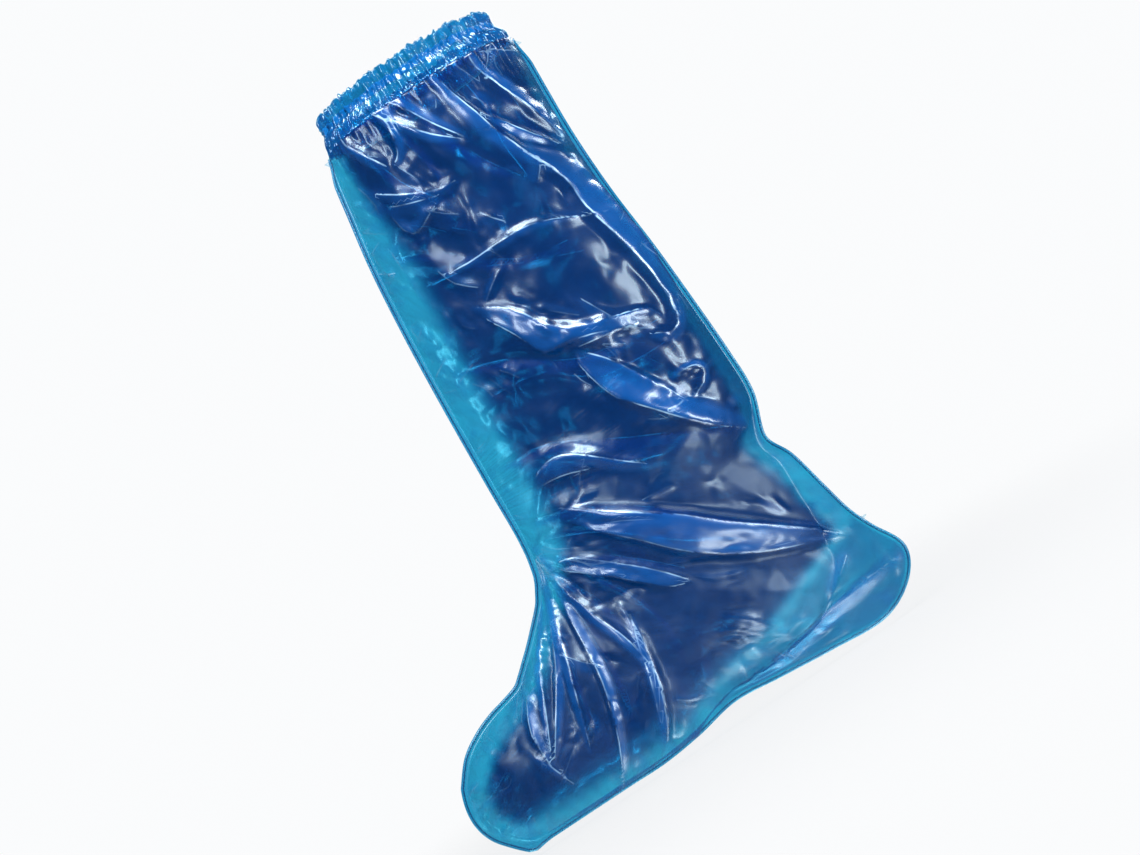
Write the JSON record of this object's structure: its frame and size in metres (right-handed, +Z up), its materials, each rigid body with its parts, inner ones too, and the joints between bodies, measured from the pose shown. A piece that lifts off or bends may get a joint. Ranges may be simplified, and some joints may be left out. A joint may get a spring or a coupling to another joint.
{
  "type": "knee-high shoe cover",
  "caption": "Disposable knee-high shoe cover of thin glossy film: two L-shaped panels heat sealed edge to edge, with a gathered elastic hem that grips the leg.",
  "frame": {"origin": "middle of the cuff's elastic, in the seam plane: the centre of the leg where the cuff grips it", "axes": "+Z up along the leg, -X towards the toe, -Y towards the left side, which the picture shows; the cover stands with its sole level"},
  "size_m": [0.3833, 0.1421, 0.5421],
  "materials": {
    "film": "thin glossy see-through blue polyethylene film with creases",
    "sealed_film": "two film layers melted together, slightly ribbed and darker",
    "elastic": "flat matt elastic seen through the blue film"
  },
  "bodies": {
    "root": {"left_panel": "film", "right_panel": "film", "sealed_edge": "sealed_film", "cuff_hem": "film", "cuff_elastic": "elastic"}
  },
  "joints": []
}
